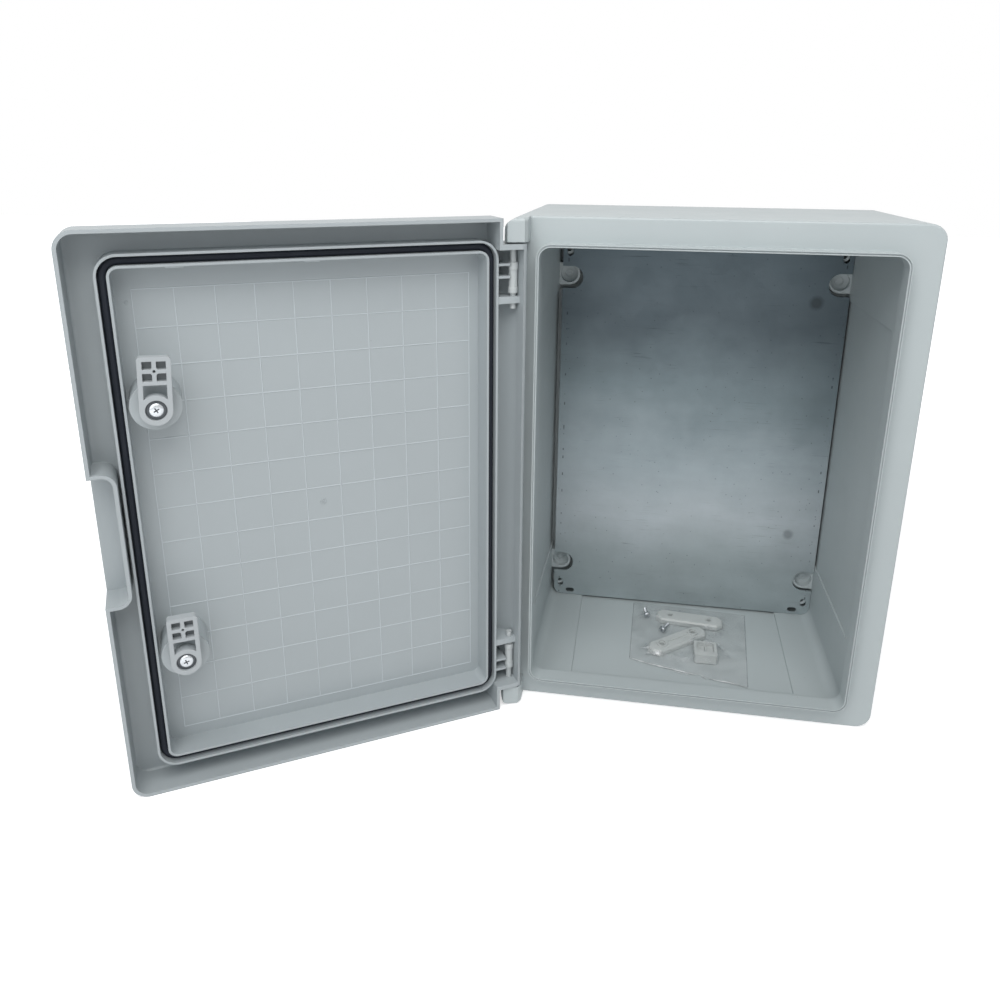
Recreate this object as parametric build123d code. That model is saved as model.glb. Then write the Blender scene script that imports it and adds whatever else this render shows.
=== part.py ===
"""Wall enclosure in ABS, 300 x 400 x 195 mm, with a hinged door that stands open.

Frame: origin on the wall plane at the centre of the fixing holes, +Z up, front towards -Y.
The solids are drawn about the middle of the body and raised at the end, because the fixing
holes sit a little below the middle. The door and its locks are drawn closed and then swung
open about the hinge axis.
"""
from build123d import *
from math import atan, degrees
import os

os.makedirs("parts", exist_ok=True)

# Overall sizes
width = 300.0
height = 400.0
body_depth = 165.0
door_depth = 30.0
half_w = width / 2
half_h = height / 2
door_front = body_depth + door_depth
corner_r = 12.0
back_corner_r = 9.0
skin_draft = 0.0164
wall = 3.5
back_wall = 4.0
outer_edge_r = 1.5

# Tub inside the body, measured in from the skin
flange_t = 4.0
flange_back = body_depth - flange_t
tub_side = 21.1
tub_end = 9.2
tub_x = half_w - tub_side
tub_z = half_h - tub_end
tub_slope_x = 0.0223
tub_slope_z = 0.038
tub_r = 9.0
recess_depth = 1.5
recess_border = 22.0
floor_recess_side = 56.5
side_recess_low = 66.0
side_recess_high = 78.0
stiffener_t = 2.5
stiffener_pitch = 80.0

# Seal line, which the collar, the door channel and the gasket all follow
seal_side = 23.6
seal_end = 20.0
seal_x = half_w - seal_side
seal_z = half_h - seal_end
seal_r = 9.7
collar_t = 2.4
collar_height = 11.0
collar_crest = body_depth + collar_height
crest_groove = 0.8
channel_w = 5.5
channel_lift = 7.0
ridge_t = 1.7
ridge_height = 18.8
gasket_fit = 0.05
gasket_gap = 0.3

# Wall fixings and plate pillars, below the middle of the body by the drop
fixing_drop = 5.2
fix_side = 33.1
fix_end = 57.2
fix_x = half_w - fix_side
fix_z = half_h - fix_end
pad_r = 10.0
pad_front = 16.0
counterbore_r = 7.7
counterbore_depth = 6.0
wall_hole_r = 3.75
pillar_r = 4.5
core_r = 2.2
core_depth = 10.0

# Mounting plate, loose on its pillars: it has slid down and to the right by its play
plate_t = 2.0
plate_back = 17.0
plate_front = plate_back + plate_t
plate_gap_x = 1.8
plate_gap_low = 0.35
plate_top_gap = 14.7
plate_shift = 1.5
plate_r = 8.0
notch_r = 9.9
notch_in = 18.4
notch_end = 35.7
plate_hole_in = 6.4
plate_hole_end = 12.8
plate_hole_w = 5.4
plate_hole_h = 8.0
edge_slot_in = 16.1
edge_slot_end = 4.6
edge_slot_w = 8.3
edge_slot_h = 4.6

# Door
door_gap = 0.6
rim_y = body_depth + door_gap
panel_t = 3.5
panel_in = door_front - panel_t
rim_t = 2.5
front_r = 4.5
tongue_r = 18.0
notch_h = 18.2
notch_wall_t = 3.8
notch_w = 18.6
door_notch_z = half_h - notch_h
door_notch_x = half_w - notch_w
grip_depth = 14.7
grip_half = 45.5
grip_r = 7.0

# Hinge
hinge_inset = 6.3
hinge_ahead = 12.0
hinge_x = -(half_w - hinge_inset)
hinge_y = -(body_depth + hinge_ahead)
swing_clear = 0.3
open_angle = 148.5
lug_gap = 1.2
lug_side_gap = 1.4
lug_z = door_notch_z + lug_gap
lug_x = door_notch_x + lug_side_gap
lug_root = 2.0
lug_lean = 1.7
lug_lean_depth = 3.5
lug_nose = 11.2
lug_edge_r = 3.0
socket_spare = 0.4
pin_reach = 8.0
pin_top = lug_z + pin_reach
pin_fit = 0.05
pin_end_r = 2.3
pin_collar_r = 3.6
pin_r = 3.2
tail_r = 2.2
pin_sections = ((22.9, pin_end_r), (5.4, pin_collar_r), (12.3, pin_r), (4.4, pin_collar_r), (11.5, tail_r))
bracket_drop = 47.2
bracket_t = 5.1
bracket_rise = 4.0
rib_drops = (33.0, 24.1)
rib_t = 1.8
rib_clear = 0.4

# Locks
lock_side = 45.8
lock_end = 110.0
lock_x = half_w - lock_side
lock_z = half_h - lock_end
boss_r = 15.8
shaft_r = 8.0
shaft_fit = 0.05
head_r = 11.0
head_t = 2.2
head_sink = 0.2
head_fit = 0.3
key_r = 5.0
key_depth = 10.0
key_bar_w = 7.0
key_bar_t = 3.0
keeper_clear = 0.7
cam_back = flange_back - keeper_clear
cam_t = 6.0
cam_front = cam_back - cam_t
cam_r = 9.8
cam_tip = 34.0
cam_corner = 2.2
cam_turn_upper = 3.0
neck_side = 9.0
neck_fit = 0.02
cam_recess_r = 6.5
cam_recess = 2.0
screw_head_r = 3.75
screw_head_proud = 0.2
screw_r = 1.5
screw_len = 12.0
window_w = 5.6
window_h = 5.0
window_side = 4.1
window_levels = (21.2, 28.7)
window_r = 1.4
web_hole = 25.0
web_hole_r = 0.9
big_window_w = 13.8
big_window_low = 7.0
big_window_high = 16.2
ring_section_r = 1.0
ring_line_r = 6.65
groove_r = 5.5
groove_w = 2.6
groove_back = 19.0

# Keeper pockets behind the flange
keeper_room = 1.9
keeper_spare = 2.8
keeper_wall = 2.5
keeper_reach = lock_x + cam_tip + keeper_room + 1.0
keeper_depth = keeper_clear + cam_t + keeper_spare
keeper_low = cam_r + keeper_room
keeper_high = (cam_tip ** 2 + cam_r ** 2 - (tub_x - lock_x) ** 2) ** 0.5 + keeper_room

# Loose kit on the floor: places are from the middle and from the back of the flange
film = 0.35
bag_corners = ((-44, 46), (57, 21), (65, 134), (-42, 139))
strap_front_at = (-1, 77)
strap_back_at = (11, 113)
cap_at = (23, 60)
screw_a_at = (-29, 114)
screw_b_at = (-14, 92)
bag_height = 11.0
bag_taper = 35.0
rest_gap = 0.3
strap_l = 62.0
strap_w = 17.0
strap_t = 5.0
strap_bevel = 1.5
strap_pitch = 36.0
strap_hole_r = 2.2
ring_boss_r = 5.0
ring_boss_bore = 3.4
ring_boss_t = 1.2
cap_w = 20.0
cap_l = 22.0
cap_h = 8.5
cap_well_w = 15.0
cap_well_l = 14.0
cap_well_depth = 4.0
cap_well_off = 2.0
cap_r = 2.0
cap_well_r = 1.5
kit_screw_r = 1.6
kit_screw_len = 12.0
kit_head_r = 3.2
kit_head_t = 2.2


def block(half_x, half_z, radius, back, front):
    """Rounded rectangle seen from the front, between two distances from the wall plane."""
    sketch = Plane.XZ.offset(back) * RectangleRounded(2 * half_x, 2 * half_z, radius)
    return extrude(sketch, amount=front - back)


def drafted(half_x, half_z, radius, front, slope_x, slope_z, back, back_radius):
    """Rounded block that narrows evenly towards the wall."""
    run = front - back
    near = Plane.XZ.offset(front) * RectangleRounded(2 * half_x, 2 * half_z, radius)
    far_x = half_x - slope_x * run
    far_z = half_z - slope_z * run
    far = Plane.XZ.offset(back) * RectangleRounded(2 * far_x, 2 * far_z, back_radius)
    return loft([near, far], ruled=True)


def rod(x, z, radius, back, front):
    """Round rod square to the wall."""
    return extrude(Plane.XZ.offset(back) * Pos(x, z) * Circle(radius), amount=front - back)


def box(x0, x1, y0, y1, z0, z1):
    """Plain box from its limits."""
    return Pos((x0 + x1) / 2, (y0 + y1) / 2, (z0 + z1) / 2) * Box(abs(x1 - x0), abs(y1 - y0), abs(z1 - z0))


def seal_frame(inner, outer, back, front):
    """Frame that follows the seal line, between two distances from that line."""
    around = block(seal_x + outer, seal_z + outer, seal_r + outer, back, front)
    return around - block(seal_x + inner, seal_z + inner, seal_r + inner, back, front)


def corners(x, z):
    """The four corners of a pattern centred on the axis."""
    return [(sx * x, sz * z) for sx in (-1, 1) for sz in (-1, 1)]


def upright(profile, half_height):
    """Plan profile carried up and down by the same height."""
    return extrude(Plane.XY.offset(-half_height) * profile, amount=2 * half_height)


def door_form(inset, front):
    """Outer form of the door, or its inside when an inset is given."""
    back = rim_y if inset == 0 else rim_y - wall
    outline = block(half_w - inset, half_h - inset, corner_r - inset, back, front)
    edge = front_r - inset + 0.01
    side_r = tongue_r - inset
    left = -half_w + inset
    right = half_w - inset
    with BuildSketch() as plan:
        with BuildLine():
            Polyline((left, -(front - side_r)), (left, -back), (right, -back), (right, -(front - edge)))
            RadiusArc((right, -(front - edge)), (right - edge, -front), edge)
            Line((right - edge, -front), (left + side_r, -front))
            RadiusArc((left + side_r, -front), (left, -(front - side_r)), side_r)
        make_face()
    top = half_h - inset
    with BuildSketch(Plane.YZ) as side:
        with BuildLine():
            Polyline((-(front - edge), -top), (-back, -top), (-back, top), (-(front - edge), top))
            RadiusArc((-(front - edge), top), (-front, top - edge), -edge)
            Line((-front, top - edge), (-front, -(top - edge)))
            RadiusArc((-front, -(top - edge)), (-(front - edge), -top), -edge)
        make_face()
    across = extrude(side.sketch, amount=width, both=True)
    return outline & upright(plan.sketch, height) & across


# Body shell: outer skirt, inner tub, flange and collar
body_form = drafted(half_w, half_h, corner_r, body_depth, skin_draft, skin_draft, 0, back_corner_r)
front_edges = body_form.faces().sort_by(Axis.Y)[0].outer_wire().edges()
body_form = fillet(front_edges, outer_edge_r)
skirt_void = drafted(half_w - wall, half_h - wall, corner_r - wall, flange_back,
                     skin_draft, skin_draft, 0, back_corner_r - wall)
tub = drafted(tub_x + wall, tub_z + wall, tub_r + wall, flange_back,
              tub_slope_x, tub_slope_z, 0, tub_r + wall)
cavity = drafted(tub_x, tub_z, tub_r, flange_back, tub_slope_x, tub_slope_z, back_wall, tub_r)
cavity_deep = drafted(tub_x + recess_depth, tub_z + recess_depth, tub_r, flange_back,
                      tub_slope_x, tub_slope_z, back_wall, tub_r)
recess_front = body_depth - recess_border
floor_recess_x = half_w - floor_recess_side
floor_panel = box(-floor_recess_x, floor_recess_x, -recess_front, -back_wall, -half_h, half_h)
side_panel = box(-half_w, half_w, -recess_front, -back_wall,
                 -(half_h - side_recess_low), half_h - side_recess_high)

stiffeners = Part()
for step in (-1.5, -0.5, 0.5, 1.5):
    level = step * stiffener_pitch
    for side in (-1, 1):
        stiffeners += box(side * tub_x, side * half_w, -flange_back, -back_wall,
                          level - stiffener_t / 2, level + stiffener_t / 2)

fixings = [(x, z - fixing_drop) for x, z in corners(fix_x, fix_z)]
pads = Part()
for x, z in fixings:
    reach = tub_x + wall if x > 0 else -tub_x - wall
    pads += rod(x, z, pad_r, 1, pad_front)
    pads += box(x, reach, -pad_front, -1, z - pad_r, z + pad_r)

keepers = Part()
keeper_cuts = Part()
keeper_back = flange_back - keeper_depth
for z in (-lock_z, lock_z):
    keepers += box(tub_x - 1, keeper_reach + keeper_wall, -flange_back, -keeper_back + keeper_wall,
                   z - keeper_low - keeper_wall, z + keeper_high + keeper_wall)
    keeper_cuts += box(seal_x - wall, keeper_reach, -flange_back, -keeper_back,
                       z - keeper_low, z + keeper_high)

# Hinge lugs: the part in front of the axis stays inside the door's swing circle
lug_back = -(body_depth - lug_root)
lug_front = hinge_y - lug_nose
with BuildSketch() as lug_plan:
    with BuildLine():
        Polyline((-half_w, lug_back), (-lug_x, lug_back), (-lug_x, hinge_y - lug_lean_depth),
                 (-lug_x - lug_lean, hinge_y - 2 * lug_lean_depth), (hinge_x - lug_lean_depth, lug_front),
                 (-half_w, lug_front), (-half_w, lug_back))
    make_face()
side_centre = (-half_w + tongue_r, -door_front + tongue_r)
side_round = Pos(*side_centre) * Circle(tongue_r)
side_root = Pos(side_centre[0], lug_back) * Rectangle(2 * tongue_r, 2 * (hinge_ahead + lug_root))
swing_round = Pos(hinge_x, hinge_y) * Circle(hinge_ahead)
swing_back = Pos(hinge_x, hinge_y + width / 2) * Rectangle(width, width)
lug_sketch = lug_plan.sketch & (side_round + side_root) & (swing_round + swing_back)
lug = extrude(Plane.XY.offset(lug_z) * lug_sketch, amount=half_h - lug_z)
lug_ends = lug.faces().sort_by(Axis.Z)[-1].edges().filter_by(lambda e: e.center().Y < hinge_y + 1)
lug = fillet(lug_ends, lug_edge_r)
lug = lug & block(half_w, half_h, corner_r, body_depth - lug_root, door_front)
socket = Pos(hinge_x, hinge_y, lug_z) * Cylinder(pin_end_r + pin_fit, pin_reach + socket_spare,
                                                align=(Align.CENTER, Align.CENTER, Align.MIN))
lug = lug - socket
lugs = lug + mirror(lug, about=Plane.XY)

body_shell = (body_form - skirt_void) + tub + (stiffeners & body_form) + keepers
body_shell = body_shell - cavity - (cavity_deep & floor_panel) - (cavity_deep & side_panel)
body_shell = body_shell + (pads & tub)
mouth = collar_t / 2
body_shell = body_shell - keeper_cuts
body_shell = body_shell - block(seal_x - mouth, seal_z - mouth, seal_r - mouth, flange_back - 1, body_depth)
body_shell = body_shell + seal_frame(-mouth, mouth, body_depth - 1, collar_crest)
body_shell = body_shell - seal_frame(-crest_groove / 2, crest_groove / 2, collar_crest - 1, collar_crest)
body_shell = body_shell + lugs

# Mounting plate: its bottom edge rests on the floor and its right edge is close to the side
plate_x = tub_x - tub_slope_x * (flange_back - plate_back) - plate_gap_x
plate_low = tub_z - tub_slope_z * (flange_back - plate_back) - plate_gap_low
plate_high = tub_z - tub_slope_z * (flange_back - plate_back) - plate_top_gap
plate_half = (plate_high + plate_low) / 2
plate_mid = (plate_high - plate_low) / 2


def plate_place(x, z):
    """A place on the plate, measured from the plate's own middle."""
    return x + plate_shift, z + plate_mid


pillar_x = plate_x - plate_hole_in
pillar_z = plate_half - plate_hole_end
for x, z in corners(pillar_x, pillar_z):
    body_shell = body_shell + rod(x, z - fixing_drop, pillar_r, 1, plate_back)
    body_shell = body_shell - rod(x, z - fixing_drop, core_r, plate_back - core_depth, plate_back)
for x, z in fixings:
    body_shell = body_shell - rod(x, z, wall_hole_r, 0, pad_front)
    body_shell = body_shell - rod(x, z, counterbore_r, pad_front - counterbore_depth, pad_front)

mounting_plate = block(plate_x, plate_half, plate_r, plate_back, plate_front)
mounting_plate = Pos(plate_shift, 0, plate_mid) * mounting_plate
notch_centre = plate_x - notch_in + notch_r
for x, z in corners(notch_centre, plate_half - notch_end):
    px, pz = plate_place(x, z)
    edge = px + (plate_x if x > 0 else -plate_x)
    mounting_plate -= rod(px, pz, notch_r, plate_back, plate_front)
    mounting_plate -= box(px, edge, -plate_front, -plate_back, pz - notch_r, pz + notch_r)
for x, z in corners(pillar_x, pillar_z):
    upright_slot = Rot(0, 0, 90) * SlotOverall(plate_hole_h, plate_hole_w)
    mounting_plate -= extrude(Plane.XZ.offset(plate_back) * Pos(*plate_place(x, z)) * upright_slot,
                              amount=plate_t)
for x, z in corners(plate_x - edge_slot_in, plate_half - edge_slot_end):
    edge_slot = SlotOverall(edge_slot_w, edge_slot_h)
    mounting_plate -= extrude(Plane.XZ.offset(plate_back) * Pos(*plate_place(x, z)) * edge_slot,
                              amount=plate_t)

# Door, closed: form, tray, notches for the lugs and their walls
form = door_form(0, door_front)
tray = door_form(rim_t, panel_in)
walls = Part()
cuts = Part()
notch_wall_low = door_notch_z - notch_wall_t
for side in (-1, 1):
    walls += box(-half_w, -door_notch_x + rim_t, -door_front, -rim_y, side * notch_wall_low,
                 side * door_notch_z)
    walls += box(-door_notch_x, -door_notch_x + rim_t, -door_front, -rim_y, side * notch_wall_low,
                 side * half_h)
    cuts += box(-half_w - 1, -door_notch_x, -door_front - 1, -rim_y + 1, side * door_notch_z,
                side * (half_h + 1))

# Finger recess in the free edge
grip_run = grip_depth + corner_r
recess = Plane.XZ.offset(rim_y) * Pos(half_w - grip_depth + grip_run / 2, 0)
grip_cut = extrude(recess * RectangleRounded(grip_run, 2 * grip_half, grip_r), amount=panel_in - rim_y)
walls += extrude(recess * RectangleRounded(grip_run + 2 * rim_t, 2 * (grip_half + rim_t), grip_r + rim_t),
                 amount=panel_in - rim_y)

# Sealing channel between two ridges
half_channel = channel_w / 2
channel_floor = panel_in - channel_lift
ridge_top = panel_in - ridge_height
ridges = seal_frame(-half_channel - ridge_t, half_channel + ridge_t, channel_floor, panel_in)
ridges += seal_frame(half_channel, half_channel + ridge_t, ridge_top, panel_in)
ridges += seal_frame(-half_channel - ridge_t, -half_channel, ridge_top, panel_in)

bosses = Part()
for z in (-lock_z, lock_z):
    bosses += rod(lock_x, z, boss_r, body_depth, panel_in)

hinge_parts = Part()
rib_root = -(seal_x + half_channel) - ridge_t / 2
bracket_high = pin_top - bracket_drop
bracket_low = bracket_high - bracket_t
bracket_front = hinge_y + bracket_rise
for side in (-1, 1):
    hinge_parts += box(-half_w + 1, rib_root, -panel_in - 1, bracket_front,
                       side * bracket_low, side * bracket_high)
    for drop in rib_drops:
        level = pin_top - drop
        hinge_parts += box(hinge_x + pin_collar_r + rib_clear, rib_root, -panel_in - 1, bracket_front,
                           side * (level - rib_t / 2), side * (level + rib_t / 2))

door_panel = (form - tray) + ((walls + hinge_parts) & form) - cuts - grip_cut
door_panel = door_panel + ridges + bosses

# The hinge-side rim is relieved so that it clears the flange while the door swings
relief = Pos(hinge_x - hinge_ahead, hinge_y + hinge_ahead) * Rectangle(2 * hinge_ahead, 2 * hinge_ahead)
relief = relief - Pos(hinge_x, hinge_y) * Circle(hinge_ahead - swing_clear)
door_panel = door_panel - upright(relief, half_h)

for side in (-1, 1):
    for low, high, radius in ((bracket_low, bracket_high, tail_r), (notch_wall_low, door_notch_z, pin_end_r)):
        middle = side * (low + high) / 2
        door_panel -= Pos(hinge_x, hinge_y, middle) * Cylinder(radius + pin_fit, high - low + 1)
for z in (-lock_z, lock_z):
    door_panel -= rod(lock_x, z, shaft_r + shaft_fit, body_depth, door_front)
    door_panel -= rod(lock_x, z, head_r + head_fit, door_front - head_t - head_sink, door_front)

# Gasket
gasket_half = half_channel - gasket_fit
door_gasket = seal_frame(-gasket_half, gasket_half, collar_crest + gasket_gap, channel_floor)

# Hinge pins
pin = Part()
section_top = pin_top
for length, radius in pin_sections:
    pin += Pos(hinge_x, hinge_y, section_top - length / 2) * Cylinder(radius, length)
    section_top -= length
hinge_pins = {"upper": pin, "lower": mirror(pin, about=Plane.XY)}


def lock_set(z, turn):
    """Rotor, seal ring, cam and screw of one lock, unlocked, with the cam pointing up."""
    head_front = door_front - head_sink
    screw_base = cam_front + cam_recess
    insert = rod(lock_x, z, shaft_r, cam_back, head_front)
    insert += rod(lock_x, z, head_r, head_front - head_t, head_front)
    insert += box(lock_x - neck_side / 2, lock_x + neck_side / 2, -cam_back, -screw_base,
                  z - neck_side / 2, z + neck_side / 2)
    insert -= rod(lock_x, z, key_r, head_front - key_depth, head_front)
    insert += box(lock_x - key_bar_w / 2, lock_x + key_bar_w / 2, -head_front, -(head_front - key_depth),
                  z - key_bar_t / 2, z + key_bar_t / 2)
    groove_y = door_front - groove_back
    groove = rod(lock_x, z, shaft_r + 1, groove_y - groove_w / 2, groove_y + groove_w / 2)
    groove -= rod(lock_x, z, groove_r, groove_y - groove_w / 2, groove_y + groove_w / 2)
    insert -= groove
    insert -= rod(lock_x, z, screw_r, screw_base, screw_base + screw_len)
    seal = Plane.XZ.offset(groove_y) * Pos(lock_x, z) * Torus(ring_line_r, ring_section_r)

    cam = rod(lock_x, z, cam_r, cam_front, cam_back)
    arm = Plane.XZ.offset(cam_front) * Pos(lock_x, z + cam_tip / 2) * Rectangle(2 * cam_r, cam_tip)
    arm = extrude(arm, amount=cam_t)
    tips = arm.edges().filter_by(Axis.Y).sort_by(Axis.Z)[-2:]
    cam += fillet(tips, cam_corner)
    for side in (-1, 1):
        for level in window_levels:
            opening = Rectangle(window_w, window_h)
            inner = opening.vertices().sort_by_distance((-side * window_side, web_hole - level))[0]
            opening = fillet(inner, window_r)
            face = Plane.XZ.offset(cam_front) * Pos(lock_x + side * window_side, z + level) * opening
            cam -= extrude(face, amount=cam_t)
    big = box(lock_x - big_window_w / 2, lock_x + big_window_w / 2, -cam_back, -cam_front,
              z + big_window_low, z + big_window_high)
    cam -= big - rod(lock_x, z, cam_r, cam_front, cam_back)
    cam -= rod(lock_x, z + web_hole, web_hole_r, cam_front, cam_back)
    cam -= rod(lock_x, z, cam_recess_r, cam_front, screw_base)
    hole = neck_side / 2 + neck_fit
    cam -= box(lock_x - hole, lock_x + hole, -cam_back, -cam_front, z - hole, z + hole)

    screw = rod(lock_x, z, screw_head_r, cam_front + screw_head_proud, screw_base)
    screw += rod(lock_x, z, screw_r, screw_base, screw_base + screw_len)
    turned = Pos(lock_x, 0, z) * Rot(0, -turn, 0) * Pos(-lock_x, 0, -z)
    pieces = {"insert": insert, "seal": seal, "cam": cam, "screw": screw}
    return {name: turned * piece for name, piece in pieces.items()}


# Kit on the sloping floor, in the floor's own plane
floor_tilt = degrees(atan(tub_slope_z))
floor_plane = Location((0, -flange_back, -(tub_z + recess_depth)), (floor_tilt, 0, 0))
bag_face = make_face(Polyline(*bag_corners, bag_corners[0]))
bag_outer = extrude(bag_face, amount=bag_height, taper=bag_taper)
bag_inner = extrude(Pos(0, 0, film) * offset(bag_face, amount=-2 * film), amount=bag_height - 2 * film,
                    taper=bag_taper)
kit_bag = floor_plane * (bag_outer - bag_inner)


def strap(ringed):
    """Fixing strap: bar with bevelled ends and, on one kind, two ring bosses."""
    bar = extrude(Rectangle(strap_l, strap_w), amount=strap_t)
    bar = chamfer(bar.edges().filter_by(Axis.Z), strap_t)
    bar = chamfer(bar.faces().sort_by(Axis.Z)[-1].edges(), strap_bevel)
    for side in (-1, 1):
        x = side * strap_pitch / 2
        if ringed:
            bar += Pos(x, 0, strap_t) * extrude(Circle(ring_boss_r) - Circle(ring_boss_bore),
                                                amount=ring_boss_t)
        bar -= Pos(x, 0, strap_t / 2) * Cylinder(strap_hole_r, 2 * strap_t)
    return bar


rest_height = film + rest_gap
kit_bracket_front = floor_plane * Pos(*strap_front_at, rest_height) * Rot(0, 0, 39) * strap(True)
kit_bracket_back = floor_plane * Pos(*strap_back_at, rest_height) * Rot(0, 0, -5) * strap(False)
cap = extrude(RectangleRounded(cap_w, cap_l, cap_r), amount=cap_h)
cap_well = extrude(RectangleRounded(cap_well_w, cap_well_l, cap_well_r), amount=cap_well_depth)
cap -= Pos(0, cap_well_off, cap_h - cap_well_depth) * cap_well
kit_cap = floor_plane * Pos(*cap_at, rest_height) * cap
small_screw = Cylinder(kit_screw_r, kit_screw_len, align=(Align.CENTER, Align.CENTER, Align.MIN))
small_screw += Cylinder(kit_head_r, kit_head_t, align=(Align.CENTER, Align.CENTER, Align.MAX))
lying = Rot(0, 90, 0) * small_screw
kit_screw_a = floor_plane * Pos(*screw_a_at, rest_height + kit_head_r) * Rot(0, 0, 100) * lying
kit_screw_b = floor_plane * Pos(*screw_b_at, rest_height + kit_head_r) * Rot(0, 0, 62) * lying

raised = Location((0, 0, fixing_drop))
swing = raised * Location((hinge_x, hinge_y, 0)) * Location((0, 0, 0), (0, 0, -open_angle))
swing = swing * Location((-hinge_x, -hinge_y, 0))

nodes = {
    "body_shell": raised * body_shell,
    "mounting_plate": raised * mounting_plate,
    "door_panel": swing * door_panel,
    "door_gasket": swing * door_gasket,
    "kit_bag": raised * kit_bag,
    "kit_bracket_front": raised * kit_bracket_front,
    "kit_bracket_back": raised * kit_bracket_back,
    "kit_cap": raised * kit_cap,
    "kit_screw_a": raised * kit_screw_a,
    "kit_screw_b": raised * kit_screw_b,
}
for name, shape in hinge_pins.items():
    nodes["hinge_pin_" + name] = swing * shape
for name, z, turn in (("upper", lock_z, cam_turn_upper), ("lower", -lock_z, 0.0)):
    pieces = lock_set(z, turn)
    nodes["lock_insert_" + name] = swing * pieces["insert"]
    nodes["lock_seal_" + name] = swing * pieces["seal"]
    nodes["lock_cam_" + name] = swing * pieces["cam"]
    nodes["cam_screw_" + name] = swing * pieces["screw"]

for name, shape in nodes.items():
    export_step(shape, "parts/" + name + ".step")
    box_size = shape.bounding_box().size
    print(name, len(shape.solids()), round(shape.volume), [round(v, 1) for v in box_size])
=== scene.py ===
# %% [markdown]
# # A wall enclosure with its door open
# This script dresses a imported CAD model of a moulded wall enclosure. The CAD gives every rigid
# shape and its place. The script adds the camera, soft light, the finishes, and the small or soft
# pieces that CAD leaves plain: the foam seal, the drilling grid on the door, the screws with their
# cross slots, and the clear bag with its kit.

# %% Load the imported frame
import bpy
import bmesh
from math import atan, cos, pi, radians, sin, sqrt
from mathutils import Matrix, Vector, noise
from mathutils.bvhtree import BVHTree


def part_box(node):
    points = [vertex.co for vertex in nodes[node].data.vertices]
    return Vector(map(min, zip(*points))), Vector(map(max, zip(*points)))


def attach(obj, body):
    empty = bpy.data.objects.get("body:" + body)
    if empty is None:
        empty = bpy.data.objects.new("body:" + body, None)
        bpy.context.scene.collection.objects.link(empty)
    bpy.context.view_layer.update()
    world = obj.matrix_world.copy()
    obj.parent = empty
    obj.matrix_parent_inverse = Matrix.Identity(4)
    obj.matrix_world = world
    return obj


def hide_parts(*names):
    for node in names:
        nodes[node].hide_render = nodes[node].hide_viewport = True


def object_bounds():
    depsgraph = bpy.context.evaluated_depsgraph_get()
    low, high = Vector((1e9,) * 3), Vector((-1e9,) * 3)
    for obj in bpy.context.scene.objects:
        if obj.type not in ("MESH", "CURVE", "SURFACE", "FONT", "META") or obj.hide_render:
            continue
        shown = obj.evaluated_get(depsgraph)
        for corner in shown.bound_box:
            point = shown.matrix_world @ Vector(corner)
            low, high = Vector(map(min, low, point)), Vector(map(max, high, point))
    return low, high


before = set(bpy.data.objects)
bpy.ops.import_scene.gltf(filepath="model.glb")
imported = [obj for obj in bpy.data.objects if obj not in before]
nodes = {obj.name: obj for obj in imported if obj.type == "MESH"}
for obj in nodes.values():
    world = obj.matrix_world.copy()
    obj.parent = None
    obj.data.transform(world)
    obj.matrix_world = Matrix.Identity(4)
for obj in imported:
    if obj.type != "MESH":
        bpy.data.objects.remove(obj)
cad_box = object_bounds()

scene = bpy.context.scene
MM = 0.001

# %% [markdown]
# ## The camera
# The view comes from the photograph. The camera's place, tilt and focal length were solved from
# straight edges of the enclosure, so they are set as numbers and not by eye. The picture was cut
# off-centre, and a small lens shift gives the same framing without bending any upright edge.

# %% Camera at the photograph's angle
camera_data = bpy.data.cameras.new("photo_camera")
camera_data.lens = 30.586
camera_data.sensor_width = 36.0
camera_data.shift_x = -0.00122
camera_data.shift_y = -0.08922
camera_data.clip_end = 30.0
camera = bpy.data.objects.new("photo_camera", camera_data)
scene.collection.objects.link(camera)
turn = Matrix.Rotation(radians(9.43), 4, "Z") @ Matrix.Rotation(radians(72.51), 4, "X")
turn = turn @ Matrix.Rotation(radians(0.43), 4, "Z")
camera.matrix_world = Matrix.Translation((-0.0506, -0.7852, 0.2548)) @ turn
scene.camera = camera
scene.view_settings.view_transform = "Standard"
print("camera at", tuple(round(v, 3) for v in camera.matrix_world.translation))

# %% [markdown]
# ## Small helpers for shader nodes
# A finish is a little network of shader nodes. Two helpers keep the cells short: one adds a node
# and sets its plain values, the other joins an output to an input.

# %% Node helpers
def add(tree, kind, values=None, **options):
    """Add a shader node, set its options, and set plain values on its sockets."""
    item = tree.nodes.new("ShaderNode" + kind)
    for name, value in options.items():
        setattr(item, name, value)
    for socket, value in (values or {}).items():
        item.inputs[socket].default_value = value
    return item


def join(tree, output, socket):
    """Link an output socket to an input socket."""
    tree.links.new(output, socket)


def maths(tree, operation, first, second=None, clamp=False):
    """Math node on two sockets or plain numbers. Returns its output."""
    item = add(tree, "Math", operation=operation, use_clamp=clamp)
    for place, value in enumerate((first, second)):
        if value is None:
            continue
        if isinstance(value, (int, float)):
            item.inputs[place].default_value = value
        else:
            join(tree, value, item.inputs[place])
    return item.outputs[0]


def ramp(tree, value, low, high, out_low=0.0, out_high=1.0):
    """Map a value from one range to another and hold it there. Returns the result."""
    item = add(tree, "MapRange", {1: low, 2: high, 3: out_low, 4: out_high})
    join(tree, value, item.inputs[0])
    return item.outputs[0]


def seen_directly(tree):
    """1 for rays from the camera, from a mirror-like surface or through glass, 0 for all others."""
    path = add(tree, "LightPath")
    either = maths(tree, "MAXIMUM", path.outputs["Is Camera Ray"], path.outputs["Is Glossy Ray"])
    return maths(tree, "MAXIMUM", either, path.outputs["Is Transmission Ray"])


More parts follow.
